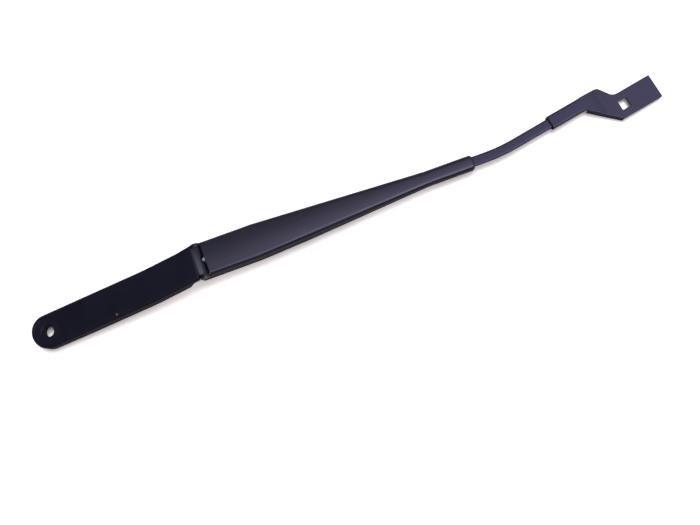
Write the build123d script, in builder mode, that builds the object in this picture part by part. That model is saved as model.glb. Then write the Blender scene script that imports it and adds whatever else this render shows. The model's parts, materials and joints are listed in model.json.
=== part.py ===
from build123d import *
import os
from math import asin, atan2, cos, degrees, hypot, radians, sin, tan

# A front wiper arm that lies on a table, glass side down. The spindle bore stands at the
# origin, X runs along the folded channel and the hinge axis is parallel to Y.

# Spindle eye of the head
BORE_RADIUS = 4.85
BORE_LAND = 11.0
BORE_MOUTH_RADIUS = 6.0
BORE_EDGE_CHAMFER = 0.6
EYE_RADIUS = 14.5
EYE_TOP = 13.2
SPOT_FACE_RADIUS = 11.6
SPOT_FACE_HEIGHT = 12.2
BOSS_RADIUS = 10.2

# Die-cast bar of the head
HEAD_ANGLE = 2.95
HEAD_KNEE = 93.0
HEAD_KNEE_ROUND = 200.0
HEAD_NECK_ANGLE = 5.6
HEAD_FLARE = 11.0
HEAD_FLARE_ROUND = 12.0
HEAD_SHOULDER_TOP = 24.0
HEAD_SHOULDER_SKEW = 4.0
HEAD_WALL = 3.0
HEAD_SKIN = 3.2
HEAD_TOP_FILLET = 2.6
HEAD_FLAT_FOOT = 30.0
HEAD_FOOT_END = 11.5
HEAD_FOOT_RISE = 6.6
HEAD_FOOT_STEP = 5.0
RIB_THICKNESS = 2.0
RIB_COUNT = 3
RIB_DEPTH = 6.0

# Hinge
HINGE_X = 139.8
HINGE_Y = 9.6
HINGE_Z = 18.5
HINGE_PIN_RADIUS = 2.5
HINGE_RIVET_RADIUS = 3.6
HINGE_RIVET_HEIGHT = 0.7
HINGE_RIVET_CHAMFER = 0.5
HINGE_RUNNING_CLEARANCE = 0.05
HINGE_SIDE_CLEARANCE = 0.25
KNUCKLE_RADIUS = 4.8
KNUCKLE_NECK = 5.1
SHOULDER_GAP = 4.0
EAR_RADIUS = 4.4
EAR_CLEARANCE = 0.65
BUSH_WALL = 0.9
BUSH_FLANGE_RADIUS = 4.3
BUSH_FLANGE_THICKNESS = 1.0
SEAT_CLEARANCE = 0.02

# Folded channel, measured from the hinge along the arm
CHANNEL_WIDTH = 30.0
CHANNEL_SHEET = 2.0
CHANNEL_BEND = 3.9
WEB_TOP = 5.3
WEB_CROWN_RADIUS = 110.0
WEB_REAR = 4.95
CHEEK_DROP = 13.2
CHEEK_REAR = -2.0
CHEEK_DEEP_END = 95.5
TAPER_START = 50.5
TAPER_END = 206.5
CHANNEL_END = 250.0
NARROW_CORNER = 2.6
SEAM_WIDTH = 1.0

# Flat rod
ROD_WIDTH = 9.0
ROD_THICKNESS = 3.5
ROD_EDGE = 1.6
ROD_CLEARANCE = 0.1
ROD_BEND_X = 276.3
ROD_BEND_ANGLE = 10.1
ROD_BEND_RADIUS = 160.0
ROD_STRAIGHT_LENGTH = 50.8
ROD_TAIL_FLAT = 10.0
ROD_TAIL_SLOPE = 18.0
ROD_TAIL_ROUND = 8.0

# Spring and its clip
SPRING_PIN_RADIUS = 2.0
SPRING_PIN_CHAMFER = 0.5
SPRING_PIN_REACH = 9.0
SPRING_PIN_ANGLE = 245.0
ANCHOR_X = 122.0
ANCHOR_Z = -6.0
ANCHOR_HOLE_RADIUS = 2.2
ANCHOR_MARGIN = 3.6
CLIP_THICKNESS = 3.2
CLIP_WIDTH = 4.2
CLIP_EYE_RADIUS = 4.6
CLIP_END_RADIUS = 3.4
CLIP_HOLE_RADIUS = 1.7
CLIP_LENGTH = 35.0
CLIP_BOW = 6.3
CLIP_BOW_START = 6.0
CLIP_BOW_END = 20.0
CLIP_CORNER = 4.0
CLIP_RUNNING_CLEARANCE = 0.06
CLIP_SLOT_CLEARANCE = 1.2
COIL_START = 49.0
COIL_LENGTH = 58.0
COIL_MEAN_RADIUS = 3.8
COIL_TURNS = 16
COIL_LEAD = 2.6
COIL_LEAD_ANGLE = 28.0
WIRE_RADIUS = 0.9
HOOK_RETURN = 2.0
HOOK_TWIST = 90.0
HOOK_CHORDS = 6
COIL_CHORDS = 9
WIRE_SIDES = 6

# Blade fitting, measured from the mouth of its sleeve along the bent rod
FITTING_SHEET = 1.5
SLEEVE_LENGTH = 33.5
SLEEVE_CORNER = 1.6
SLEEVE_SEAM = 1.4
ROD_IN_SLEEVE = 32.0
PLATE_WIDTH = 22.8
PLATE_OFFSET = 18.5
PLATE_END = 100.4
CRANK_OUTER_START = 53.0
CRANK_OUTER_END = 62.2
CRANK_INNER_START = 33.5
CRANK_INNER_END = 59.4
CRANK_OUTER_ROUND = 6.0
CRANK_INNER_ROUND = 8.0
JOGGLE_START = 40.0
JOGGLE_LENGTH = 9.0
JOGGLE_DROP = 1.8
FLANGE_DEPTH = 6.0
FLANGE_RELIEF = 3.0
HOLE_X = 67.0
HOLE_SIDE = 8.6
HOLE_CORNER = 0.8

# An edge counts as running along the arm when this much of its direction does
ALONG = 0.5

# Places that follow from the sizes above
bush_radius = HINGE_PIN_RADIUS + HINGE_RUNNING_CLEARANCE + BUSH_WALL
channel_half = CHANNEL_WIDTH / 2
ear_inside = channel_half - CHANNEL_SHEET
knuckle_half = ear_inside - HINGE_SIDE_CLEARANCE - BUSH_FLANGE_THICKNESS
slot_half = CLIP_THICKNESS / 2 + CLIP_SLOT_CLEARANCE
rod_slot_half = ROD_WIDTH / 2 + ROD_CLEARANCE
narrow_half = rod_slot_half + CHANNEL_SHEET
web_inside = WEB_TOP - CHANNEL_SHEET
web_edge = WEB_TOP - WEB_CROWN_RADIUS + (WEB_CROWN_RADIUS**2 - channel_half**2) ** 0.5
rod_z = web_inside - ROD_CLEARANCE - ROD_THICKNESS / 2
rod_slot_floor = rod_z - ROD_THICKNESS / 2 - ROD_CLEARANCE
narrow_bottom = rod_slot_floor - CHANNEL_SHEET
sleeve_half = ROD_WIDTH / 2 + ROD_CLEARANCE + FITTING_SHEET
sleeve_top = ROD_THICKNESS / 2 + ROD_CLEARANCE + FITTING_SHEET
plate_top = sleeve_top - JOGGLE_DROP
flange_bottom = plate_top - FLANGE_DEPTH
plate_near = -PLATE_OFFSET + PLATE_WIDTH / 2
plate_far = -PLATE_OFFSET - PLATE_WIDTH / 2

# Stiffening flange along the inner edge of the fitting's crank
crank_start = Vector(CRANK_INNER_START, -sleeve_half)
flange_tip = Vector(CRANK_INNER_END, plate_far)
crank_edge = (flange_tip - crank_start).normalized()
crank_inward = Vector(-crank_edge.Y, crank_edge.X) * FITTING_SHEET
flange_start = crank_start + crank_edge * FLANGE_RELIEF
flange_foot = flange_tip + crank_inward

# The arm tips down from the hinge until the foot of that flange touches the table
bend = radians(ROD_BEND_ANGLE)
sleeve_mouth = Vector(ROD_BEND_X + ROD_STRAIGHT_LENGTH * cos(bend), ROD_STRAIGHT_LENGTH * sin(bend), rod_z)
foot_x = sleeve_mouth.X + flange_foot.X * cos(bend) - flange_foot.Y * sin(bend)
foot_z = rod_z + flange_bottom
arm_pitch = degrees(atan2(foot_z, foot_x) + asin(HINGE_Z / hypot(foot_x, foot_z)))

hinge = Vector(HINGE_X, HINGE_Y, HINGE_Z)
arm = Plane(Location(hinge, (0, arm_pitch, 0)))
arm_side = Plane(arm.origin, x_dir=arm.x_dir, z_dir=-arm.y_dir)
arm_section = Plane(arm.origin, x_dir=arm.y_dir, z_dir=arm.x_dir)
head_side = Plane(hinge, x_dir=(1, 0, 0), z_dir=(0, -1, 0))
bent_along = arm.x_dir * cos(bend) + arm.y_dir * sin(bend)
fitting = Plane(arm.from_local_coords(sleeve_mouth), x_dir=bent_along, z_dir=arm.z_dir)

# The spring pulls along the line from its pin in the head to the hole in the rod's tail
pin_angle = radians(SPRING_PIN_ANGLE)
spring_pin_at = Vector(SPRING_PIN_REACH * cos(pin_angle), SPRING_PIN_REACH * sin(pin_angle))
spring_pin_place = head_side.from_local_coords(spring_pin_at)
anchor_place = arm.from_local_coords(Vector(ANCHOR_X, 0, ANCHOR_Z))
pull = (anchor_place - spring_pin_place).normalized()
pull_length = (anchor_place - spring_pin_place).length
link_side = Plane(spring_pin_place, x_dir=pull, z_dir=(0, -1, 0))
link_top = Plane(spring_pin_place, x_dir=pull, z_dir=link_side.y_dir)

# Outline of the head seen from above: round eye, bar with a slight knee, and a flare at the hinge
shoulder_x = HINGE_X - SHOULDER_GAP
skew = radians(HEAD_SHOULDER_SKEW)
shoulder = Plane((shoulder_x, HINGE_Y, 0), x_dir=(sin(skew), cos(skew), 0), z_dir=(cos(skew), -sin(skew), 0))
head_axis = Vector(cos(radians(HEAD_ANGLE)), sin(radians(HEAD_ANGLE)))
head_across = Vector(-head_axis.Y, head_axis.X)
neck_axis = Vector(cos(radians(HEAD_NECK_ANGLE)), sin(radians(HEAD_NECK_ANGLE)))
neck_across = Vector(-neck_axis.Y, neck_axis.X)
knee = head_axis * HEAD_KNEE
neck_length = (shoulder_x - knee.X) / neck_axis.X
top_slope = (HEAD_SHOULDER_TOP - EYE_TOP) / shoulder_x


def head_outline(inset):
    """Closed outline of the head, drawn in by the given inset, up to the slanting shoulder."""
    radius = EYE_RADIUS - inset
    knee_across = (head_across + neck_across).normalized() * radius
    flare = knee + neck_axis * (neck_length - HEAD_FLARE) + neck_across * radius
    far_corner = shoulder.from_local_coords(Vector(channel_half - inset, 0))
    near_corner = shoulder.from_local_coords(Vector(inset - channel_half, 0))
    with BuildLine() as outline:
        FilletPolyline(
            head_across * radius,
            knee + knee_across,
            flare,
            far_corner,
            radius=[HEAD_KNEE_ROUND, HEAD_FLARE_ROUND],
        )
        FilletPolyline(head_across * -radius, knee - knee_across, near_corner, radius=HEAD_KNEE_ROUND)
        ThreePointArc(head_across * radius, head_axis * -radius, head_across * -radius)
        Line(near_corner, far_corner)
    return outline.line


def head_profile(skin, foot):
    """Side view of the head under its sloping top, lowered by the skin, above its foot line."""
    reach = EYE_RADIUS * 2
    foot_end = shoulder_x - HEAD_FOOT_END
    neck_foot = HINGE_Z - EAR_RADIUS / 2
    with BuildLine() as profile:
        Polyline(
            (-reach, foot),
            (HEAD_FLAT_FOOT, foot),
            (foot_end, foot + HEAD_FOOT_RISE),
            (foot_end + HEAD_FOOT_STEP, foot + neck_foot),
            (HINGE_X, foot + neck_foot),
            (HINGE_X, EYE_TOP - skin + HINGE_X * top_slope),
            (-reach, EYE_TOP - skin - reach * top_slope),
            close=True,
        )
    return profile.line


# Hollow under the head, between its walls and below its skin
with BuildPart() as head_hollow:
    with BuildSketch(Plane.XY):
        with BuildLine():
            add(head_outline(HEAD_WALL))
        make_face()
    extrude(amount=HEAD_SHOULDER_TOP + HEAD_SKIN)
    with BuildSketch(Plane.XZ):
        with BuildLine():
            add(head_profile(HEAD_SKIN, -HEAD_WALL))
        make_face()
    extrude(amount=CHANNEL_WIDTH, both=True, mode=Mode.INTERSECT)
    with BuildSketch(Plane.XY):
        Circle(BOSS_RADIUS)
    extrude(amount=HEAD_SHOULDER_TOP + HEAD_SKIN, mode=Mode.SUBTRACT)
    with BuildSketch(shoulder.offset(-HEAD_WALL)):
        Rectangle(2 * CHANNEL_WIDTH, 2 * HEAD_SHOULDER_TOP)
    extrude(amount=2 * HEAD_WALL, mode=Mode.SUBTRACT)

# Ribs in the hollow: one along the bar and a few across it
with BuildPart() as head_ribs:
    rib_length = HEAD_KNEE - BOSS_RADIUS
    bar = Plane((0, 0, 0), x_dir=head_axis, z_dir=(0, 0, 1))
    with BuildSketch(bar):
        with Locations((BOSS_RADIUS + rib_length / 2, 0)):
            Rectangle(rib_length + BOSS_RADIUS, RIB_THICKNESS)
        with Locations((BOSS_RADIUS + rib_length / 2, 0)):
            with GridLocations(rib_length / RIB_COUNT, 0, RIB_COUNT, 1):
                Rectangle(RIB_THICKNESS, 2 * EYE_RADIUS)
    extrude(amount=HEAD_SHOULDER_TOP + HEAD_SKIN)
    with BuildSketch(Plane.XZ):
        with BuildLine():
            add(head_profile(HEAD_SKIN + RIB_DEPTH, -HEAD_WALL))
        make_face()
    extrude(amount=CHANNEL_WIDTH, both=True, mode=Mode.SUBTRACT)

# Mounting head: one casting with the spindle eye, the ribbed bar and the split knuckle
with BuildPart() as mounting_head:
    with BuildSketch(Plane.XY):
        with BuildLine():
            add(head_outline(0))
        make_face()
    extrude(amount=HEAD_SHOULDER_TOP + HEAD_SKIN)
    with BuildSketch(Plane.XZ):
        with BuildLine():
            add(head_profile(0, 0))
        make_face()
    extrude(amount=CHANNEL_WIDTH, both=True, mode=Mode.INTERSECT)
    head_top = faces().sort_by(lambda f: f.normal_at().Z)[-1]
    rims = head_top.edges().sort_by(Axis.X)[:-1]
    fillet(rims, HEAD_TOP_FILLET)
    add(head_hollow.part - head_ribs.part, mode=Mode.SUBTRACT)
    with BuildSketch(Plane.XY.offset(SPOT_FACE_HEIGHT)):
        Circle(SPOT_FACE_RADIUS)
    extrude(amount=EYE_TOP, mode=Mode.SUBTRACT)
    with BuildSketch(Plane.XZ):
        with BuildLine():
            Polyline(
                (0, 0),
                (BORE_MOUTH_RADIUS, 0),
                (BORE_RADIUS, SPOT_FACE_HEIGHT - BORE_LAND),
                (BORE_RADIUS, SPOT_FACE_HEIGHT - BORE_EDGE_CHAMFER),
                (BORE_RADIUS + BORE_EDGE_CHAMFER, SPOT_FACE_HEIGHT),
                (0, SPOT_FACE_HEIGHT),
                close=True,
            )
        make_face()
    revolve(axis=Axis.Z, mode=Mode.SUBTRACT)
    with BuildSketch(head_side):
        Circle(EAR_RADIUS + EAR_CLEARANCE)
    extrude(amount=CHANNEL_WIDTH, both=True, mode=Mode.SUBTRACT)
    neck_drop = CLIP_EYE_RADIUS - spring_pin_at.Y
    with BuildSketch(head_side):
        Circle(KNUCKLE_RADIUS)
        with Locations(spring_pin_at):
            Circle(CLIP_EYE_RADIUS)
        with Locations((-SHOULDER_GAP, KNUCKLE_NECK)):
            Rectangle(HEAD_WALL, KNUCKLE_NECK + neck_drop, align=Align.MAX)
        make_hull()
    extrude(amount=knuckle_half, both=True)
    with BuildSketch(head_side):
        Circle(bush_radius + SEAT_CLEARANCE)
        with Locations(spring_pin_at):
            Circle(SPRING_PIN_RADIUS + SEAT_CLEARANCE)
    extrude(amount=knuckle_half, both=True, mode=Mode.SUBTRACT)
    slot_reach = SHOULDER_GAP + HEAD_WALL + CLIP_EYE_RADIUS
    slot_roof = bush_radius + SEAT_CLEARANCE
    with BuildSketch(head_side):
        with Locations((-slot_reach, slot_roof)):
            Rectangle(2 * slot_reach, HINGE_Z + slot_roof, align=(Align.MIN, Align.MAX))
        with Locations((HINGE_PIN_RADIUS, slot_roof)):
            Rectangle(slot_reach, KNUCKLE_RADIUS, align=(Align.MIN, Align.MIN))
    extrude(amount=slot_half, both=True, mode=Mode.SUBTRACT)

# Flanged plastic bushes, one in each half of the knuckle
bushes = []
for side in (1, -1):
    with BuildPart() as bush:
        with BuildSketch(head_side.offset(-side * knuckle_half)):
            Circle(bush_radius)
        extrude(amount=side * (knuckle_half - slot_half))
        with BuildSketch(head_side.offset(-side * knuckle_half)):
            Circle(BUSH_FLANGE_RADIUS)
        extrude(amount=-side * BUSH_FLANGE_THICKNESS)
        with BuildSketch(head_side):
            Circle(HINGE_PIN_RADIUS + HINGE_RUNNING_CLEARANCE)
        extrude(amount=CHANNEL_WIDTH, both=True, mode=Mode.SUBTRACT)
    bushes.append(bush)
hinge_bush_left, hinge_bush_right = bushes

# Spring pin, pressed across the knuckle behind the hinge
with BuildPart() as spring_pin:
    with BuildSketch(head_side):
        with Locations(spring_pin_at):
            Circle(SPRING_PIN_RADIUS)
    extrude(amount=knuckle_half, both=True)
    chamfer(edges().filter_by(GeomType.CIRCLE), SPRING_PIN_CHAMFER)

# Hinge pin, riveted over the outside of both cheeks
with BuildPart() as hinge_pin:
    with BuildSketch(arm_side):
        Circle(HINGE_PIN_RADIUS)
    extrude(amount=channel_half, both=True)
    for side in (1, -1):
        with BuildSketch(arm_side.offset(side * channel_half)):
            Circle(HINGE_RIVET_RADIUS)
        extrude(amount=side * HINGE_RIVET_HEIGHT)
    rivet_rims = edges().filter_by(GeomType.CIRCLE).sort_by(Axis.Y)
    chamfer([rivet_rims[0], rivet_rims[-1]], HINGE_RIVET_CHAMFER)


def runs_along(edge):
    """True for an edge that runs along the arm more than across it."""
    return abs(edge.tangent_at(0).dot(arm.x_dir)) > ALONG


def stands_up(edge):
    """True for an edge that stands upright on the arm."""
    return abs(edge.tangent_at(0).dot(arm.z_dir)) > ALONG


def channel_section(half, inset):
    """Section across the channel, drawn in by the inset: crowned web, round bends, upright cheeks."""
    with BuildSketch() as section:
        with Locations((0, -CHEEK_DROP - inset)):
            Rectangle(2 * (half - inset), 2 * CHEEK_DROP, align=(Align.CENTER, Align.MIN))
        with Locations((0, WEB_TOP - WEB_CROWN_RADIUS)):
            Circle(WEB_CROWN_RADIUS - inset, mode=Mode.INTERSECT)
        fillet(vertices().sort_by(Axis.Y)[-2:], CHANNEL_BEND - inset)
    return section.sketch


# Half widths of the channel at its stations along the arm
channel_stations = [
    (TAPER_START, channel_half),
    (TAPER_END, narrow_half),
]

# Space inside the channel, open below, as far as the wrapped end
with BuildPart() as channel_hollow:
    for place, half in [(-EAR_RADIUS, channel_half), *channel_stations]:
        with BuildSketch(arm_section.offset(place)):
            add(channel_section(half, CHANNEL_SHEET))
    loft(ruled=True)

# Arm channel: a folded sheet with a crowned web, two cheeks and a wrapped narrow end
with BuildPart() as arm_channel:
    for place, half in [(WEB_REAR, channel_half), *channel_stations, (CHANNEL_END, narrow_half)]:
        with BuildSketch(arm_section.offset(place)):
            add(channel_section(half, 0))
    loft(ruled=True)
    with BuildSketch(arm_side):
        with BuildLine():
            Polyline(
                (0, WEB_TOP + CHANNEL_SHEET),
                (2 * CHANNEL_END, WEB_TOP + CHANNEL_SHEET),
                (2 * CHANNEL_END, narrow_bottom),
                (TAPER_END, narrow_bottom),
                (CHEEK_DEEP_END, -CHEEK_DROP),
                (0, -CHEEK_DROP),
                close=True,
            )
        make_face()
    extrude(amount=CHANNEL_WIDTH, both=True, mode=Mode.INTERSECT)
    end_face = faces().sort_by(Axis(arm.origin, arm.x_dir))[-1]
    fillet(end_face.edges().filter_by(stands_up), NARROW_CORNER)
    ear_join = WEB_REAR + CHANNEL_SHEET
    for side in (1, -1):
        with BuildSketch(arm_side.offset(side * ear_inside)):
            Circle(EAR_RADIUS)
            with Locations((CHEEK_REAR, -CHEEK_DROP)):
                Rectangle(ear_join - CHEEK_REAR, web_edge - CHANNEL_BEND + CHEEK_DROP, align=Align.MIN)
            make_hull()
        extrude(amount=side * CHANNEL_SHEET)
    add(channel_hollow.part, mode=Mode.SUBTRACT)
    with BuildSketch(arm_side):
        with Locations((TAPER_END, rod_slot_floor)):
            Rectangle(CHANNEL_END, web_inside - rod_slot_floor, align=Align.MIN)
    extrude(amount=rod_slot_half, both=True, mode=Mode.SUBTRACT)
    with BuildSketch(arm_side):
        with Locations((TAPER_END, rod_slot_floor)):
            Rectangle(CHANNEL_END, CHANNEL_BEND, align=(Align.MIN, Align.MAX))
    extrude(amount=SEAM_WIDTH / 2, both=True, mode=Mode.SUBTRACT)
    with BuildSketch(arm_side):
        Circle(HINGE_PIN_RADIUS + SEAT_CLEARANCE)
    extrude(amount=CHANNEL_WIDTH, both=True, mode=Mode.SUBTRACT)

# Flat rod: straight in the channel, one easy bend sideways, a cranked tail for the spring
bend_run = ROD_BEND_RADIUS * tan(bend / 2)
bend_start = Vector(ROD_BEND_X - bend_run, 0)
bend_end = Vector(ROD_BEND_X + bend_run * cos(bend), bend_run * sin(bend))
tail_start = ANCHOR_X + ROD_TAIL_FLAT
tail_end = tail_start + ROD_TAIL_SLOPE
rod_tail_join = tail_end + ROD_TAIL_FLAT

with BuildPart() as rod_tail:
    with BuildSketch(arm_side):
        with BuildLine():
            FilletPolyline(
                (ANCHOR_X - ANCHOR_MARGIN, ANCHOR_Z),
                (tail_start, ANCHOR_Z),
                (tail_end, rod_z),
                (rod_tail_join, rod_z),
                radius=ROD_TAIL_ROUND,
            )
        trace(line_width=ROD_THICKNESS)
    extrude(amount=ROD_WIDTH / 2, both=True)
    tail_sides = faces().sort_by(Axis.Y)
    tail_rims = tail_sides[0].edges() + tail_sides[-1].edges()
    fillet(tail_rims.filter_by(runs_along), ROD_EDGE)
    with BuildSketch(arm.offset(ANCHOR_Z)):
        with Locations((ANCHOR_X, 0)):
            Circle(ANCHOR_HOLE_RADIUS)
    extrude(amount=ROD_THICKNESS, both=True, mode=Mode.SUBTRACT)

with BuildPart() as arm_rod:
    with BuildSketch(arm.offset(rod_z - ROD_THICKNESS / 2)):
        with BuildLine():
            Line((rod_tail_join, 0), bend_start)
            TangentArc(bend_start, bend_end, tangent=(1, 0))
            PolarLine(bend_end, ROD_STRAIGHT_LENGTH + ROD_IN_SLEEVE - bend_run, angle=ROD_BEND_ANGLE)
        trace(line_width=ROD_WIDTH)
    extrude(amount=ROD_THICKNESS)
    rod_faces = faces().filter_by(lambda f: abs(f.normal_at().dot(arm.z_dir)) > ALONG)
    rod_rims = rod_faces[0].edges() + rod_faces[-1].edges()
    fillet(rod_rims.filter_by(runs_along), ROD_EDGE)
    add(rod_tail.part)

# Spring clip: a thick C-shaped stamping that bows under the hinge pin
with BuildPart() as spring_clip:
    with BuildSketch(link_side):
        with BuildLine():
            FilletPolyline(
                (0, -CLIP_EYE_RADIUS + CLIP_WIDTH / 2),
                (CLIP_BOW_START, -CLIP_BOW),
                (CLIP_BOW_END, -CLIP_BOW),
                (CLIP_LENGTH, 0),
                radius=CLIP_CORNER,
            )
        trace(line_width=CLIP_WIDTH)
        Circle(CLIP_EYE_RADIUS)
        with Locations((CLIP_LENGTH, 0)):
            Circle(CLIP_END_RADIUS)
        Circle(SPRING_PIN_RADIUS + CLIP_RUNNING_CLEARANCE, mode=Mode.SUBTRACT)
        with Locations((CLIP_LENGTH, 0)):
            Circle(CLIP_HOLE_RADIUS, mode=Mode.SUBTRACT)
    extrude(amount=CLIP_THICKNESS / 2, both=True)

# Tension spring: one wire, with an open coil and a side hook at each end, a quarter turn apart
coil_place = spring_pin_place + pull * COIL_START
coil_turns = COIL_TURNS + (HOOK_TWIST - 2 * COIL_LEAD_ANGLE) / 360
coil_chords = round(coil_turns * COIL_CHORDS)
front_end = COIL_LENGTH + COIL_LEAD


def outward(angle):
    """Direction square to the spring's axis, at an angle round it."""
    return link_top.y_dir.rotate(Axis((0, 0, 0), pull), angle) * COIL_MEAN_RADIUS


def side_hook(tip, lead, angle):
    """Points of a hook from its free end round its tip to where the coil takes over."""
    inward = pull if lead > tip else -pull
    across = outward(angle)
    bow = coil_place + pull * tip + inward * COIL_MEAN_RADIUS
    points = [bow - across + inward * HOOK_RETURN]
    for step in range(HOOK_CHORDS + 1):
        turn = radians(180 * step / HOOK_CHORDS)
        points.append(bow - across * cos(turn) - inward * (COIL_MEAN_RADIUS * sin(turn)))
    points.append(coil_place + pull * lead + across)
    return points


wire_points = side_hook(CLIP_LENGTH - COIL_START, -COIL_LEAD, 0)
for step in range(coil_chords + 1):
    share = step / coil_chords
    turned = COIL_LEAD_ANGLE + 360 * coil_turns * share
    wire_points.append(coil_place + pull * (COIL_LENGTH * share) + outward(turned))
wire_points += reversed(side_hook(pull_length - COIL_START, front_end, HOOK_TWIST))

with BuildPart() as tension_spring:
    with BuildLine() as wire_path:
        Polyline(*wire_points)
    with BuildSketch(Plane(wire_points[0], z_dir=wire_points[1] - wire_points[0])):
        RegularPolygon(WIRE_RADIUS, WIRE_SIDES)
    sweep(path=wire_path.wires()[0], transition=Transition.RIGHT)

# Blade fitting: a sleeve folded round the rod, a cranked neck and a flat plate with a square hole
fitting_side = Plane(fitting.origin, x_dir=fitting.x_dir, z_dir=-fitting.y_dir)
fitting_end = Plane(fitting.origin, x_dir=fitting.y_dir, z_dir=fitting.x_dir)
joggle_end = JOGGLE_START + JOGGLE_LENGTH
sheet_reach = PLATE_OFFSET + PLATE_WIDTH

# Stiffening flange, turned down along the inner edge of the crank
with BuildPart() as crank_flange:
    with BuildSketch(fitting.offset(flange_bottom)):
        with BuildLine():
            Polyline(
                flange_start,
                flange_tip,
                flange_foot,
                flange_start + crank_inward,
                close=True,
            )
        make_face()
    extrude(amount=sleeve_top - flange_bottom)
    with BuildSketch(fitting_side):
        with BuildLine():
            Polyline(
                (0, flange_bottom),
                (0, sleeve_top),
                (JOGGLE_START, sleeve_top),
                (joggle_end, plate_top),
                (PLATE_END, plate_top),
                (PLATE_END, flange_bottom),
                close=True,
            )
        make_face()
    extrude(amount=sheet_reach, both=True, mode=Mode.INTERSECT)

with BuildPart() as blade_fitting:
    with BuildSketch(fitting_side):
        with BuildLine():
            Polyline(
                (SLEEVE_LENGTH, sleeve_top - FITTING_SHEET / 2),
                (JOGGLE_START, sleeve_top - FITTING_SHEET / 2),
                (joggle_end, plate_top - FITTING_SHEET / 2),
                (PLATE_END, plate_top - FITTING_SHEET / 2),
            )
        trace(line_width=FITTING_SHEET)
    extrude(amount=sheet_reach, both=True)
    with BuildSketch(fitting):
        with BuildLine():
            Polyline(
                (0, sleeve_half),
                (CRANK_OUTER_START, sleeve_half),
                (CRANK_OUTER_END, plate_near),
                (PLATE_END, plate_near),
                (PLATE_END, plate_far),
                (CRANK_INNER_END, plate_far),
                (CRANK_INNER_START, -sleeve_half),
                (0, -sleeve_half),
                close=True,
            )
        make_face()
        fillet(vertices().sort_by_distance((CRANK_OUTER_START, sleeve_half))[0], CRANK_OUTER_ROUND)
        fillet(vertices().sort_by_distance((CRANK_OUTER_END, plate_near))[0], CRANK_INNER_ROUND)
        with Locations((HOLE_X, -PLATE_OFFSET)):
            RectangleRounded(HOLE_SIDE, HOLE_SIDE, HOLE_CORNER, mode=Mode.SUBTRACT)
    extrude(amount=sheet_reach, both=True, mode=Mode.INTERSECT)
    with BuildSketch(fitting_end):
        RectangleRounded(2 * sleeve_half, 2 * sleeve_top, SLEEVE_CORNER)
        Rectangle(ROD_WIDTH + 2 * ROD_CLEARANCE, ROD_THICKNESS + 2 * ROD_CLEARANCE, mode=Mode.SUBTRACT)
        with Locations((0, -sleeve_top)):
            Rectangle(SLEEVE_SEAM, 2 * FITTING_SHEET, mode=Mode.SUBTRACT)
    extrude(amount=SLEEVE_LENGTH)
    add(crank_flange.part)

os.makedirs("parts", exist_ok=True)
pieces = {
    "mounting_head": mounting_head,
    "hinge_bush_left": hinge_bush_left,
    "hinge_bush_right": hinge_bush_right,
    "spring_pin": spring_pin,
    "hinge_pin": hinge_pin,
    "arm_channel": arm_channel,
    "arm_rod": arm_rod,
    "spring_clip": spring_clip,
    "tension_spring": tension_spring,
    "blade_fitting": blade_fitting,
}
for name, piece in pieces.items():
    piece.part.label = name
    export_step(piece.part, f"parts/{name}.step")
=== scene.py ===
import json
from math import cos, radians, sin

import bmesh
import bpy
from mathutils import Matrix, Vector

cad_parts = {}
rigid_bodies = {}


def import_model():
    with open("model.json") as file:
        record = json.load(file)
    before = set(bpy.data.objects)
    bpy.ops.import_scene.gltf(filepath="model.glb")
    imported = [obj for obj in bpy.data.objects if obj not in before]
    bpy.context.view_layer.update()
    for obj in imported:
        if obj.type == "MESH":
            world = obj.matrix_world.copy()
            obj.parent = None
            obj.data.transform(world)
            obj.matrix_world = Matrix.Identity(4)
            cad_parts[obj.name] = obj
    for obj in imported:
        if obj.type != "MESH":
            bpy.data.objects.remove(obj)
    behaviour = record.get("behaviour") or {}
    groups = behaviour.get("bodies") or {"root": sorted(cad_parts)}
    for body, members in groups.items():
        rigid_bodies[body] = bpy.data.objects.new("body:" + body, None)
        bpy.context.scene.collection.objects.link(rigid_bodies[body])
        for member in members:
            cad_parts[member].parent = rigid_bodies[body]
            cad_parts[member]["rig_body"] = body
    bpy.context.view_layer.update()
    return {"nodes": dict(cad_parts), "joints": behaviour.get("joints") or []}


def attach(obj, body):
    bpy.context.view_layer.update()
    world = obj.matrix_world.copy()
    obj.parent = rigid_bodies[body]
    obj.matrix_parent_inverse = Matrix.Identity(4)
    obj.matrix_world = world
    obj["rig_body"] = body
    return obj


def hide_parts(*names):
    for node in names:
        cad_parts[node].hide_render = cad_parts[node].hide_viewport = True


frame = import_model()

MM = 0.001

# The arm lies along X with its near side towards minus Y, and the frame says where its joints turn
ALONG = Vector((1.0, 0.0, 0.0))
ACROSS = Vector((0.0, 1.0, 0.0))
turning_points = {joint["name"]: Vector(joint["pos_m"]) for joint in frame["joints"]}
HINGE = turning_points["arm_hinge"]
SPRING_PIN = turning_points["spring_swing"]

# View: a camera almost straight above the table, a little towards the arm's near side
IMAGE_WIDTH = 700
FOCAL_PIXELS = 855.0
SENSOR_WIDTH = 36.0
VIEW_CENTRE = Vector((259.0, -33.7, 0.0)) * MM
VIEW_DISTANCE = 740 * MM
VIEW_TILT = radians(8.0)
VIEW_HEADING = radians(20.75)

# White table: a pinkish glow that only the eye sees, and that is left in the shadow
TABLE_GLOW = "#c8c0be"
# The paper that the daylight falls on, and a darker grey that the paint's reflections see in its place, which
# paints shade into the reflected table
TABLE_PAPER = "#f2efee"
TABLE_REFLECTED_SHADE = "#8f8b8a"
# The glow fades where the arm is nearer than this, which gives the contact shadow
TABLE_CONTACT = 14 * MM
TABLE_CONTACT_SAMPLES = 12
# Half of the table's side, in metres
TABLE_HALF = 3.0

# Light tent round the table, by the direction seen from the arm: its roof grows brighter along the arm
TENT_ALONG = (-0.40, 0.45)
TENT_ALONG_SHARE = (0.01, 0.93)
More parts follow.
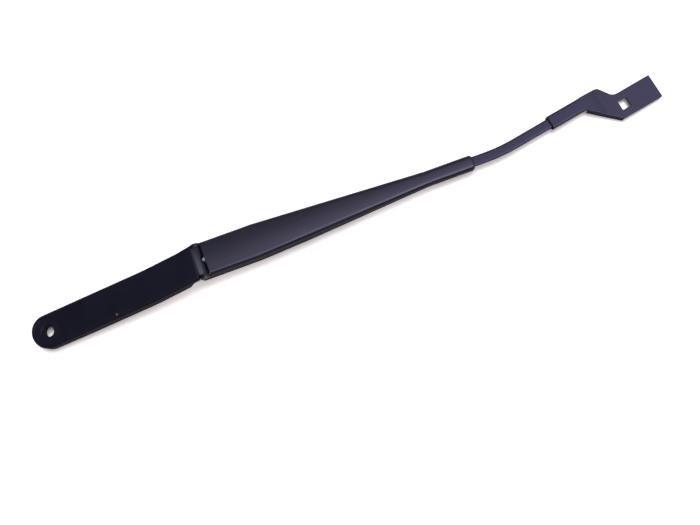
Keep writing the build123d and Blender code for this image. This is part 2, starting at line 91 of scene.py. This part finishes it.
# The roof is brightest over the near side and fades across the arm, within limits
TENT_MIDDLE = 2.62
TENT_ACROSS = -6.5
TENT_LIMITS = (0.15, 8.0)
# The roof's own way up, which leans along the arm, and how near to it a direction meets the roof
TENT_UP = Vector((0.22, 0.0, 1.0))
TENT_EDGE = (0.66, 0.88)
# Faint light everywhere else, and a stronger skirt close to the table
TENT_FILL = 0.035
TENT_SKIRT = 0.16
TENT_SKIRT_EDGE = (0.45, 0.20)
# Its two ends and its far wall, which the top mirrors to an eye lower down
TENT_WALL = 0.26
TENT_WALL_EDGE = (0.40, 0.66)
# Share of the tent's light that dull surfaces take, so that the shadow is left to the daylight
TENT_DULL_SHARE = 0.15
# Its colour, and the white backdrop that the eye alone sees in its place
TENT_TINT = "#f4f3ff"
BACKDROP = "#ffffff"

# Broad daylight from the far side: only its direction counts, and the shadow falls towards the near side
WINDOW_PLACE = Vector((0.40, 0.45, 1.35))
WINDOW_TARGET = Vector((0.26, 0.0, 0.0))
WINDOW_SPREAD = radians(32)
WINDOW_POWER = 3.0

# Noise in the finishes: the values that it mostly lies between, and how fine its detail goes
NOISE_SPAN = (0.3, 0.7)
SOFT_DETAIL = 2.0
SOME_DETAIL = 3.0
FINE_DETAIL = 4.0
# Depth of the grain that a bump stands for
GRAIN_DEPTH = 0.05 * MM

# Black dip paint on the cast head. The grain is drawn coarser than a real casting's, so that it shows
CAST_DARK = "#080710"
CAST_LIGHT = "#0c0b17"
CAST_SHEEN = "#dcdaff"
CAST_IOR = 1.40
CAST_ROUGH = (0.36, 0.44)
CAST_MOTTLE = 22 * MM
CAST_GRAIN = 0.7 * MM
CAST_GRAIN_STRENGTH = 0.15

# Paint nick in the head's top, near the edge: noise is added to the distance from its middle, and the
# bare grey fades out between two such sums
NICK_PLACE = Vector((60.1, -8.0, 18.0)) * MM
NICK_RAGGED = 2.0 * MM
NICK_FADE = (1.5 * MM, 2.0 * MM)
NICK_GREY = "#6f665c"

# Painted highlight along the top of the knuckle: a lighter grey band in the paint's colour that stands for
# light on its round top, most at the near side. Its places are measured from the hinge
KNUCKLE_HIGHLIGHT_RISE = (-3.6 * MM, -2.6 * MM)
KNUCKLE_HIGHLIGHT_FALL = (-0.3 * MM, 1.7 * MM)
KNUCKLE_HIGHLIGHT_ACROSS = (10.4 * MM, -11.6 * MM)
KNUCKLE_HIGHLIGHT_FAR_SHARE = 0.15
KNUCKLE_HIGHLIGHT_HEIGHT = (3.5 * MM, 4.3 * MM)
KNUCKLE_HIGHLIGHT_GREY = "#494a50"

# Black paint on the pressed steel, with an IOR that is matched to its bright sheen
SHEET_IOR = 1.66
SHEET_ROUGH_SPREAD = 0.04
SHEET_MOTTLE = 30 * MM
SHEET_PEEL = 1.6 * MM
SHEET_PEEL_STRENGTH = 0.10

# Patches on plated and phosphated steel differ in gloss by this much either way
METAL_ROUGH_SPREAD = 0.08

# Nylon of the bushes. The mottle of the fibres is drawn coarser than the real one, so that it shows
NYLON_DARK = "#101014"
NYLON_LIGHT = "#1e1e24"
NYLON_IOR = 1.53
NYLON_ROUGH = 0.6
NYLON_FIBRE = 0.8 * MM

# Rounding of cast, cut and plated edges, which only the light shows
CAST_EDGE = 1.8 * MM
SHEET_EDGE = 1.2 * MM
PLATED_EDGE = 0.2 * MM
PAINTED_EDGE_SAMPLES = 6
PLATED_EDGE_SAMPLES = 4

# Tension spring: its line of pull, its coil and its two hooks, measured from its pin. The coil has 16 turns
# and 34 degrees of the next
PULL = Vector((0.99977, 0.0, -0.0214))
RAISED = PULL.cross(ACROSS)
WIRE_RADIUS = 0.9 * MM
COIL_START = 49.0 * MM
COIL_LENGTH = 58.0 * MM
COIL_TURNS = 16 + 34 / 360
COIL_RADIUS = 3.8 * MM
COIL_LEAD = 2.6 * MM
COIL_LEAD_ANGLE = radians(28)
HOOK_TWIST = radians(90)
HOOK_RETURN = 2.0 * MM
HOOK_REAR_TIP = 35.0 * MM
HOOK_FRONT_TIP = 125.5 * MM
# The front hook slides on a straight stem inside the coil while the spring stretches
FRONT_STEM = (98.0 * MM, 109.6 * MM)
# How finely the wire is drawn: along a turn and round the section of the coil, and the same of the hooks,
# whose smooth line has this order
COIL_STEPS = 32
COIL_SIDES = 12
HOOK_STEPS = 8
HOOK_ROUNDNESS = 3
HOOK_ORDER = 4

# Serrations of the spindle bore, which stands upright at the origin
RIDGE_COUNT = 36
RIDGE_SIDES = 3
RIDGE_CIRCLE = 5.1 * MM
RIDGE_RADIUS = 0.5 * MM
RIDGE_LENGTH = 9.6 * MM
RIDGE_MIDDLE = 6.4 * MM

# An edge counts as sharp when its faces turn by more than this
SHARP_ANGLE = radians(32)
# Faces count as one flat face when they turn by less than this
FLAT_ANGLE = radians(0.3)
# Corners of neighbouring triangles are one point within this distance
MERGE_DISTANCE = 0.002 * MM

# Node settings that are used more than once
COLOUR_MIX = {"data_type": "RGBA"}
MULTIPLY = {"operation": "MULTIPLY"}
MULTIPLY_ADD = {"operation": "MULTIPLY_ADD"}
SMOOTH_STEP = {"interpolation_type": "SMOOTHSTEP"}


def linear(hex_colour):
    """Linear colour, with alpha, of an sRGB hex value."""
    parts = [int(hex_colour[i:i + 2], 16) / 255 for i in (1, 3, 5)]
    return [c / 12.92 if c <= 0.04045 else ((c + 0.055) / 1.055) ** 2.4 for c in parts] + [1.0]


def add(tree, kind, settings=None, inputs=None):
    """One new node: settings are its own properties, inputs are values or sockets for its sockets."""
    node = tree.nodes.new(kind)
    for name, value in (settings or {}).items():
        setattr(node, name, value)
    for name, value in (inputs or {}).items():
        if isinstance(value, bpy.types.NodeSocket):
            tree.links.new(value, node.inputs[name])
        else:
            node.inputs[name].default_value = value
    return node


def new_material(name):
    """Node material with an empty tree."""
    material = bpy.data.materials.new(name)
    material.use_nodes = True
    material.node_tree.nodes.clear()
    return material, material.node_tree


def cast_paint():
    """Black dip paint on a die casting: dull satin, a little mottled, with one nick and one painted highlight
    band on the knuckle.
    """
    material, tree = new_material("black_dip_paint_on_casting")
    place = add(tree, "ShaderNodeTexCoord").outputs["Object"]
    mottle = add(tree, "ShaderNodeTexNoise", inputs={
        "Vector": place, "Scale": 1 / CAST_MOTTLE, "Detail": FINE_DETAIL})
    paint = add(tree, "ShaderNodeMix", COLOUR_MIX, {
        "Factor": mottle.outputs["Fac"], "A": linear(CAST_DARK), "B": linear(CAST_LIGHT)})

    ragged = add(tree, "ShaderNodeTexNoise", inputs={
        "Vector": place, "Scale": 1 / CAST_GRAIN, "Detail": SOFT_DETAIL})
    away = add(tree, "ShaderNodeVectorMath", {"operation": "DISTANCE"}, {0: place, 1: NICK_PLACE})
    torn = add(tree, "ShaderNodeMath", MULTIPLY_ADD, {
        0: ragged.outputs["Fac"], 1: NICK_RAGGED, 2: away.outputs["Value"]})
    nick = add(tree, "ShaderNodeMapRange", inputs={
        "Value": torn.outputs["Value"], "From Min": NICK_FADE[0], "From Max": NICK_FADE[1],
        "To Min": 1.0, "To Max": 0.0})
    nicked = add(tree, "ShaderNodeMix", COLOUR_MIX, {
        "Factor": nick.outputs["Result"], "A": paint.outputs["Result"], "B": linear(NICK_GREY)})

    from_hinge = add(tree, "ShaderNodeMapping", inputs={"Vector": place, "Location": -HINGE})
    axes = add(tree, "ShaderNodeSeparateXYZ", inputs={"Vector": from_hinge.outputs["Vector"]})
    # Painted highlight: a lighter grey band on the knuckle's top, strongest at the near side
    highlit = 1.0
    for axis, (start, end), (first, last) in (
            ("X", KNUCKLE_HIGHLIGHT_RISE, (0.0, 1.0)), ("X", KNUCKLE_HIGHLIGHT_FALL, (1.0, 0.0)),
            ("Y", KNUCKLE_HIGHLIGHT_ACROSS, (KNUCKLE_HIGHLIGHT_FAR_SHARE, 1.0)), ("Z", KNUCKLE_HIGHLIGHT_HEIGHT, (0.0, 1.0))):
        share = add(tree, "ShaderNodeMapRange", inputs={
            "Value": axes.outputs[axis], "From Min": start, "From Max": end, "To Min": first, "To Max": last})
        product = add(tree, "ShaderNodeMath", MULTIPLY, {0: highlit, 1: share.outputs["Result"]})
        highlit = product.outputs["Value"]
    highlighted = add(tree, "ShaderNodeMix", COLOUR_MIX, {
        "Factor": highlit, "A": nicked.outputs["Result"], "B": linear(KNUCKLE_HIGHLIGHT_GREY)})

    gloss = add(tree, "ShaderNodeMapRange", inputs={
        "Value": mottle.outputs["Fac"], "From Min": NOISE_SPAN[0], "From Max": NOISE_SPAN[1],
        "To Min": CAST_ROUGH[0], "To Max": CAST_ROUGH[1]})
    grain = add(tree, "ShaderNodeTexNoise", inputs={
        "Vector": place, "Scale": 1 / CAST_GRAIN, "Detail": SOME_DETAIL})
    edge = add(tree, "ShaderNodeBevel", {"samples": PAINTED_EDGE_SAMPLES}, {"Radius": CAST_EDGE})
    bump = add(tree, "ShaderNodeBump", inputs={
        "Height": grain.outputs["Fac"], "Strength": CAST_GRAIN_STRENGTH, "Distance": GRAIN_DEPTH,
        "Normal": edge.outputs["Normal"]})
    shader = add(tree, "ShaderNodeBsdfPrincipled", inputs={
        "Base Color": highlighted.outputs["Result"], "Roughness": gloss.outputs["Result"],
        "Normal": bump.outputs["Normal"], "IOR": CAST_IOR, "Specular Tint": linear(CAST_SHEEN)})
    add(tree, "ShaderNodeOutputMaterial", inputs={"Surface": shader.outputs["BSDF"]})
    return material


def sheet_paint(name, dark, light, rough, sheen):
    """Black paint on pressed steel: semi-gloss, bluish in the light, with a faint orange peel."""
    material, tree = new_material(name)
    place = add(tree, "ShaderNodeTexCoord").outputs["Object"]
    mottle = add(tree, "ShaderNodeTexNoise", inputs={
        "Vector": place, "Scale": 1 / SHEET_MOTTLE, "Detail": SOME_DETAIL})
    paint = add(tree, "ShaderNodeMix", COLOUR_MIX, {
        "Factor": mottle.outputs["Fac"], "A": linear(dark), "B": linear(light)})
    gloss = add(tree, "ShaderNodeMapRange", inputs={
        "Value": mottle.outputs["Fac"], "From Min": NOISE_SPAN[0], "From Max": NOISE_SPAN[1],
        "To Min": rough - SHEET_ROUGH_SPREAD, "To Max": rough + SHEET_ROUGH_SPREAD})
    peel = add(tree, "ShaderNodeTexNoise", inputs={
        "Vector": place, "Scale": 1 / SHEET_PEEL, "Detail": SOFT_DETAIL})
    edge = add(tree, "ShaderNodeBevel", {"samples": PAINTED_EDGE_SAMPLES}, {"Radius": SHEET_EDGE})
    bump = add(tree, "ShaderNodeBump", inputs={
        "Height": peel.outputs["Fac"], "Strength": SHEET_PEEL_STRENGTH, "Distance": GRAIN_DEPTH,
        "Normal": edge.outputs["Normal"]})
    shader = add(tree, "ShaderNodeBsdfPrincipled", inputs={
        "Base Color": paint.outputs["Result"], "Roughness": gloss.outputs["Result"],
        "Normal": bump.outputs["Normal"], "IOR": SHEET_IOR, "Specular Tint": linear(sheen)})
    add(tree, "ShaderNodeOutputMaterial", inputs={"Surface": shader.outputs["BSDF"]})
    return material


def bare_metal(name, dark, light, patch_size, rough):
    """Coated steel without paint: a metal whose tone and gloss change in small patches."""
    material, tree = new_material(name)
    place = add(tree, "ShaderNodeTexCoord").outputs["Object"]
    patch = add(tree, "ShaderNodeTexNoise", inputs={
        "Vector": place, "Scale": 1 / patch_size, "Detail": FINE_DETAIL})
    tone = add(tree, "ShaderNodeMix", COLOUR_MIX, {
        "Factor": patch.outputs["Fac"], "A": linear(dark), "B": linear(light)})
    gloss = add(tree, "ShaderNodeMapRange", inputs={
        "Value": patch.outputs["Fac"], "From Min": NOISE_SPAN[0], "From Max": NOISE_SPAN[1],
        "To Min": rough + METAL_ROUGH_SPREAD, "To Max": rough - METAL_ROUGH_SPREAD})
    edge = add(tree, "ShaderNodeBevel", {"samples": PLATED_EDGE_SAMPLES}, {"Radius": PLATED_EDGE})
    shader = add(tree, "ShaderNodeBsdfPrincipled", inputs={
        "Base Color": tone.outputs["Result"], "Metallic": 1.0,
        "Roughness": gloss.outputs["Result"], "Normal": edge.outputs["Normal"]})
    add(tree, "ShaderNodeOutputMaterial", inputs={"Surface": shader.outputs["BSDF"]})
    return material


def bush_nylon():
    """Glass-filled nylon, moulded black: matt, with a faint grey mottle from the fibres."""
    material, tree = new_material("black_glass_filled_nylon")
    place = add(tree, "ShaderNodeTexCoord").outputs["Object"]
    fibre = add(tree, "ShaderNodeTexNoise", inputs={
        "Vector": place, "Scale": 1 / NYLON_FIBRE, "Detail": FINE_DETAIL})
    tone = add(tree, "ShaderNodeMix", COLOUR_MIX, {
        "Factor": fibre.outputs["Fac"], "A": linear(NYLON_DARK), "B": linear(NYLON_LIGHT)})
    shader = add(tree, "ShaderNodeBsdfPrincipled", inputs={
        "Base Color": tone.outputs["Result"], "Roughness": NYLON_ROUGH, "IOR": NYLON_IOR})
    add(tree, "ShaderNodeOutputMaterial", inputs={"Surface": shader.outputs["BSDF"]})
    return material


def body_of(node):
    """Name of the body that a CAD node rides on."""
    return frame["nodes"][node]["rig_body"]


def keep_piece(name, mesh, material, body):
    """Object of a finished mesh that rides on a body and takes the given material."""
    mesh.materials.clear()
    mesh.materials.append(material)
    piece = bpy.data.objects.new(name, mesh)
    bpy.context.scene.collection.objects.link(piece)
    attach(piece, body)
    return piece


def plain_mesh(carrier):
    """Plain mesh of what a carrier's modifier or curve gives, with the carrier taken away."""
    bpy.context.scene.collection.objects.link(carrier)
    graph = bpy.context.evaluated_depsgraph_get()
    mesh = bpy.data.meshes.new_from_object(carrier.evaluated_get(graph), depsgraph=graph)
    bpy.data.objects.remove(carrier)
    return mesh


def applied(name, mesh, kind, settings):
    """New mesh of a mesh with one modifier on it."""
    carrier = bpy.data.objects.new(name, mesh)
    modifier = carrier.modifiers.new(kind.lower(), kind)
    for key, value in settings.items():
        setattr(modifier, key, value)
    return plain_mesh(carrier)


def smooth_skin(node, material):
    """Merged copy of a solid with flat faces, smooth curves and crisp edges, standing for it."""
    mesh = frame["nodes"][node].data.copy()
    merge = bmesh.new()
    merge.from_mesh(mesh)
    bmesh.ops.remove_doubles(merge, verts=merge.verts, dist=MERGE_DISTANCE)
    bmesh.ops.dissolve_limit(merge, angle_limit=FLAT_ANGLE, verts=merge.verts, edges=merge.edges)
    merge.to_mesh(mesh)
    merge.free()
    mesh.shade_smooth()
    mesh.set_sharp_from_angle(angle=SHARP_ANGLE)
    mesh = applied(node, mesh, "WEIGHTED_NORMAL", {"keep_sharp": True})
    skin = keep_piece(node + "_skin", mesh, material, body_of(node))
    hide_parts(node)


painted_casting = cast_paint()
# Stoved paint of the channel, which shines most
channel_paint = sheet_paint(
    "black_stoved_paint", dark="#0d0c15", light="#12111b", rough=0.30, sheen="#e6e2ff")
# Dip paint of the rod and the blade fitting, a little paler, bluer and duller
rod_paint = sheet_paint(
    "black_dip_paint_on_rod", dark="#100f1c", light="#161524", rough=0.36, sheen="#d9d4ff")
# Zinc plating of the pins and the clip: pale grey with soft dull patches
zinc = bare_metal(
    "dull_zinc_plating", dark="#777674", light="#a3a29f", patch_size=2.5 * MM, rough=0.38)
# Phosphate on the spring wire: dark grey and almost matt
phosphate = bare_metal(
    "phosphated_steel", dark="#333338", light="#4c4c52", patch_size=1.5 * MM, rough=0.46)
nylon = bush_nylon()

FINISHES = {
    "mounting_head": (painted_casting, "cast_black"),
    "hinge_bush_left": (nylon, "bush_plastic"),
    "hinge_bush_right": (nylon, "bush_plastic"),
    "spring_pin": (zinc, "plated_steel"),
    "hinge_pin": (zinc, "plated_steel"),
    "arm_channel": (channel_paint, "sheet_black"),
    "arm_rod": (rod_paint, "sheet_black"),
    "spring_clip": (zinc, "plated_steel"),
    "blade_fitting": (rod_paint, "sheet_black"),
}
for node, (finish, slot) in FINISHES.items():
    smooth_skin(node, finish)


def node_group(name, sockets):
    """Geometry node tree with named inputs, each with its kind and value, and one mesh output."""
    tree = bpy.data.node_groups.new(name, "GeometryNodeTree")
    tree.interface.new_socket("Geometry", in_out="OUTPUT", socket_type="NodeSocketGeometry")
    for label, (kind, value) in sockets.items():
        tree.interface.new_socket(label, in_out="INPUT", socket_type=kind).default_value = value
    return tree, add(tree, "NodeGroupInput")


def grown(tree):
    """Mesh that a geometry node tree makes from its own inputs."""
    return applied(tree.name, bpy.data.meshes.new(tree.name), "NODES", {"node_group": tree})


def coil_tree(material):
    """Open coil along Z: a wire of round section that follows a spiral."""
    tree, given = node_group("spring_coil", {
        "Turns": ("NodeSocketFloat", COIL_TURNS), "Length": ("NodeSocketFloat", COIL_LENGTH),
        "Coil Radius": ("NodeSocketFloat", COIL_RADIUS), "Wire Radius": ("NodeSocketFloat", WIRE_RADIUS)})
    spiral = add(tree, "GeometryNodeCurveSpiral", inputs={
        "Resolution": COIL_STEPS, "Rotations": given.outputs["Turns"], "Height": given.outputs["Length"],
        "Start Radius": given.outputs["Coil Radius"], "End Radius": given.outputs["Coil Radius"]})
    section = add(tree, "GeometryNodeCurvePrimitiveCircle", inputs={
        "Resolution": COIL_SIDES, "Radius": given.outputs["Wire Radius"]})
    tube = add(tree, "GeometryNodeCurveToMesh", inputs={
        "Curve": spiral.outputs["Curve"], "Profile Curve": section.outputs["Curve"], "Fill Caps": True})
    turned = add(tree, "GeometryNodeTransform", inputs={
        "Geometry": tube.outputs["Mesh"], "Rotation": (0, 0, COIL_LEAD_ANGLE)})
    painted = add(tree, "GeometryNodeSetMaterial", inputs={
        "Geometry": turned.outputs["Geometry"], "Material": material})
    add(tree, "NodeGroupOutput", inputs={"Geometry": painted.outputs["Geometry"]})
    return tree


def serration_tree(material):
    """Ring of fine ridges round the spindle bore, each a three-sided bar with one edge inwards."""
    tree, given = node_group("bore_serrations", {
        "Count": ("NodeSocketInt", RIDGE_COUNT), "Bore Radius": ("NodeSocketFloat", RIDGE_CIRCLE),
        "Ridge Radius": ("NodeSocketFloat", RIDGE_RADIUS), "Length": ("NodeSocketFloat", RIDGE_LENGTH)})
    ring = add(tree, "GeometryNodeMeshCircle", inputs={
        "Vertices": given.outputs["Count"], "Radius": given.outputs["Bore Radius"]})
    ridge = add(tree, "GeometryNodeMeshCylinder", inputs={
        "Vertices": RIDGE_SIDES, "Radius": given.outputs["Ridge Radius"], "Depth": given.outputs["Length"]})
    outward = add(tree, "GeometryNodeInputPosition")
    inward = add(tree, "ShaderNodeVectorMath", {"operation": "SCALE"}, {
        0: outward.outputs["Position"], "Scale": -1.0})
    turn = add(tree, "FunctionNodeAlignRotationToVector", {"axis": "X", "pivot_axis": "Z"}, {
        "Vector": inward.outputs["Vector"]})
    bars = add(tree, "GeometryNodeInstanceOnPoints", inputs={
        "Points": ring.outputs["Mesh"], "Instance": ridge.outputs["Mesh"],
        "Rotation": turn.outputs["Rotation"]})
    whole = add(tree, "GeometryNodeRealizeInstances", inputs={"Geometry": bars.outputs["Instances"]})
    lifted = add(tree, "GeometryNodeTransform", inputs={
        "Geometry": whole.outputs["Geometry"], "Translation": (0, 0, RIDGE_MIDDLE)})
    painted = add(tree, "GeometryNodeSetMaterial", inputs={
        "Geometry": lifted.outputs["Geometry"], "Material": material})
    add(tree, "NodeGroupOutput", inputs={"Geometry": painted.outputs["Geometry"]})
    return tree


def wire_mesh(name, points):
    """Round wire that follows a smooth line near the given points."""
    path = bpy.data.curves.new(name, "CURVE")
    path.dimensions = "3D"
    path.bevel_depth = WIRE_RADIUS
    path.bevel_resolution = HOOK_ROUNDNESS
    path.use_fill_caps = True
    line = path.splines.new("NURBS")
    line.points.add(len(points) - 1)
    for point, place in zip(line.points, points):
        point.co = (*place, 1)
    line.use_endpoint_u = True
    line.order_u = HOOK_ORDER
    line.resolution_u = HOOK_STEPS
    return plain_mesh(bpy.data.objects.new(name, path))


def on_spring(along, turn=0.0, away=COIL_RADIUS):
    """Place beside the spring's axis: how far along the pull, at which angle round it and how far from it."""
    return SPRING_PIN + PULL * along + (ACROSS * cos(turn) + RAISED * sin(turn)) * away


def hook_points(tip, inward, turn):
    """Points of a hook from its free end round its tip to its other leg."""
    bow = tip + inward * COIL_RADIUS
    back = bow + inward * HOOK_RETURN
    legs = ((back, -1), (bow, -1), (tip, -1), (tip, 1), (bow, 1))
    return [on_spring(along, turn, side * COIL_RADIUS) for along, side in legs]


def tension_spring(wire):
    """Coil and rear hook, which swing with the clip, and the front hook, which keeps its hole in the rod."""
    coil = grown(coil_tree(wire))
    coil.transform(Matrix.Translation(on_spring(COIL_START, away=0.0))
                   @ Matrix((ACROSS, RAISED, PULL)).transposed().to_4x4())
    rear_hook = wire_mesh("rear_hook", [
        *hook_points(HOOK_REAR_TIP, 1, 0.0), on_spring(COIL_START - COIL_LEAD),
        on_spring(COIL_START, COIL_LEAD_ANGLE / 2), on_spring(COIL_START, COIL_LEAD_ANGLE)])
    stem_end, stem_root = FRONT_STEM
    front_hook = wire_mesh("front_hook", [
        *hook_points(HOOK_FRONT_TIP, -1, HOOK_TWIST), on_spring(stem_root + COIL_LEAD, HOOK_TWIST),
        on_spring(stem_root, away=0.0), on_spring(stem_root - COIL_LEAD, away=0.0),
        on_spring(stem_end, away=0.0)])
    join = bmesh.new()
    join.from_mesh(coil)
    join.from_mesh(rear_hook)
    join.to_mesh(coil)
    join.free()
    for mesh in (coil, front_hook):
        mesh.shade_smooth()
    swinging = keep_piece("spring_coil_and_rear_hook", coil, wire, body_of("tension_spring"))
    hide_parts("tension_spring")
    keep_piece("spring_front_hook", front_hook, wire, body_of("arm_rod"))


tension_spring(phosphate)
keep_piece("spindle_serrations", grown(serration_tree(painted_casting)), painted_casting,
           body_of("mounting_head"))


def white_table():
    """White table: plain white to the eye where the light is full, and soft pinkish grey in the shadow."""
    material, tree = new_material("white_table")
    path = add(tree, "ShaderNodeLightPath")
    # Painted shade in reflections: glossy rays see the paper as a darker grey
    tone = add(tree, "ShaderNodeMix", COLOUR_MIX, {
        "Factor": path.outputs["Is Glossy Ray"], "A": linear(TABLE_PAPER), "B": linear(TABLE_REFLECTED_SHADE)})
    paper = add(tree, "ShaderNodeBsdfDiffuse", inputs={"Color": tone.outputs["Result"]})
    clear = add(tree, "ShaderNodeAmbientOcclusion", {"samples": TABLE_CONTACT_SAMPLES}, {
        "Distance": TABLE_CONTACT})
    strength = add(tree, "ShaderNodeMath", MULTIPLY, {
        0: path.outputs["Is Camera Ray"], 1: clear.outputs["AO"]})
    glow = add(tree, "ShaderNodeEmission", inputs={
        "Color": linear(TABLE_GLOW), "Strength": strength.outputs["Value"]})
    both = add(tree, "ShaderNodeAddShader", inputs={0: paper.outputs["BSDF"], 1: glow.outputs["Emission"]})
    add(tree, "ShaderNodeOutputMaterial", inputs={"Surface": both.outputs["Shader"]})
    corners = [(x * TABLE_HALF, y * TABLE_HALF, 0) for x, y in ((-1, -1), (1, -1), (1, 1), (-1, 1))]
    mesh = bpy.data.meshes.new("table")
    mesh.from_pydata(corners, [], [(0, 1, 2, 3)])
    mesh.materials.append(material)
    table = bpy.data.objects.new("table", mesh)
    bpy.context.scene.collection.objects.link(table)


def light_tent():
    """Soft tent, dark above the head, brighter over the arm and most at the near side; white to the eye."""
    world = bpy.data.worlds.new("light_tent")
    world.use_nodes = True
    tree = world.node_tree
    tree.nodes.clear()
    way = add(tree, "ShaderNodeTexCoord").outputs["Generated"]
    axes = add(tree, "ShaderNodeSeparateXYZ", inputs={"Vector": way})

    along = add(tree, "ShaderNodeMapRange", SMOOTH_STEP, {
        "Value": axes.outputs["X"], "From Min": TENT_ALONG[0], "From Max": TENT_ALONG[1],
        "To Min": TENT_ALONG_SHARE[0], "To Max": TENT_ALONG_SHARE[1]})
    across = add(tree, "ShaderNodeMath", MULTIPLY_ADD, {0: axes.outputs["Y"], 1: TENT_ACROSS, 2: TENT_MIDDLE})
    held = add(tree, "ShaderNodeClamp", inputs={
        "Value": across.outputs["Value"], "Min": TENT_LIMITS[0], "Max": TENT_LIMITS[1]})
    panel = add(tree, "ShaderNodeMath", MULTIPLY, {0: along.outputs["Result"], 1: held.outputs["Result"]})
    rise = add(tree, "ShaderNodeVectorMath", {"operation": "DOT_PRODUCT"}, {0: way, 1: TENT_UP})
    roof = add(tree, "ShaderNodeMapRange", SMOOTH_STEP, {
        "Value": rise.outputs["Value"], "From Min": TENT_EDGE[0], "From Max": TENT_EDGE[1]})

    skirt = add(tree, "ShaderNodeMapRange", SMOOTH_STEP, {
        "Value": axes.outputs["Z"], "From Min": TENT_SKIRT_EDGE[0], "From Max": TENT_SKIRT_EDGE[1],
        "To Min": TENT_FILL, "To Max": TENT_SKIRT})
    beyond = add(tree, "ShaderNodeMath", {"operation": "MAXIMUM"}, {0: axes.outputs["Y"], 1: 0.0})
    level = add(tree, "ShaderNodeCombineXYZ", inputs={"X": axes.outputs["X"], "Y": beyond.outputs["Value"]})
    reach = add(tree, "ShaderNodeVectorMath", {"operation": "LENGTH"}, {0: level.outputs["Vector"]})
    ends = add(tree, "ShaderNodeMapRange", SMOOTH_STEP, {
        "Value": reach.outputs["Value"], "From Min": TENT_WALL_EDGE[0], "From Max": TENT_WALL_EDGE[1],
        "To Max": TENT_WALL})
    walls = add(tree, "ShaderNodeMath", {"operation": "ADD"}, {
        0: skirt.outputs["Result"], 1: ends.outputs["Result"]})
    glow = add(tree, "ShaderNodeMath", MULTIPLY_ADD, {
        0: panel.outputs["Value"], 1: roof.outputs["Result"], 2: walls.outputs["Value"]})

    path = add(tree, "ShaderNodeLightPath")
    dull = add(tree, "ShaderNodeMapRange", inputs={
        "Value": path.outputs["Is Diffuse Ray"], "To Min": 1.0, "To Max": TENT_DULL_SHARE})
    strength = add(tree, "ShaderNodeMath", MULTIPLY, {0: glow.outputs["Value"], 1: dull.outputs["Result"]})
    tent = add(tree, "ShaderNodeBackground", inputs={
        "Color": linear(TENT_TINT), "Strength": strength.outputs["Value"]})
    backdrop = add(tree, "ShaderNodeBackground", inputs={"Color": linear(BACKDROP)})
    both = add(tree, "ShaderNodeMixShader", inputs={
        0: path.outputs["Is Camera Ray"], 1: tent.outputs["Background"], 2: backdrop.outputs["Background"]})
    add(tree, "ShaderNodeOutputWorld", inputs={"Surface": both.outputs["Shader"]})
    bpy.context.scene.world = world


def facing(place, target, upward):
    """Matrix of a lamp or camera at a place that looks at a target."""
    back = (place - target).normalized()
    right = upward.cross(back).normalized()
    up = back.cross(right)
    return Matrix.Translation(place) @ Matrix((right, up, back)).transposed().to_4x4()


def window_light():
    """Broad daylight from the far side, which the paint doesn't mirror."""
    lamp = bpy.data.lights.new("window", "SUN")
    lamp.angle = WINDOW_SPREAD
    lamp.energy = WINDOW_POWER
    window = bpy.data.objects.new("window", lamp)
    window.matrix_world = facing(WINDOW_PLACE, WINDOW_TARGET, ALONG)
    window.visible_glossy = False
    bpy.context.scene.collection.objects.link(window)


def view_camera():
    """Camera that sees the arm as the photograph does."""
    level = Vector((sin(VIEW_HEADING), cos(VIEW_HEADING), 0))
    forward = level * sin(VIEW_TILT) - Vector((0, 0, cos(VIEW_TILT)))
    lens = bpy.data.cameras.new("view")
    lens.sensor_fit = "HORIZONTAL"
    lens.sensor_width = SENSOR_WIDTH
    lens.lens = FOCAL_PIXELS / IMAGE_WIDTH * SENSOR_WIDTH
    camera = bpy.data.objects.new("view", lens)
    camera.matrix_world = facing(VIEW_CENTRE - forward * VIEW_DISTANCE, VIEW_CENTRE, level)
    bpy.context.scene.collection.objects.link(camera)
    bpy.context.scene.camera = camera


white_table()
light_tent()
window_light()
view_camera()
bpy.context.scene.view_settings.view_transform = "Standard"
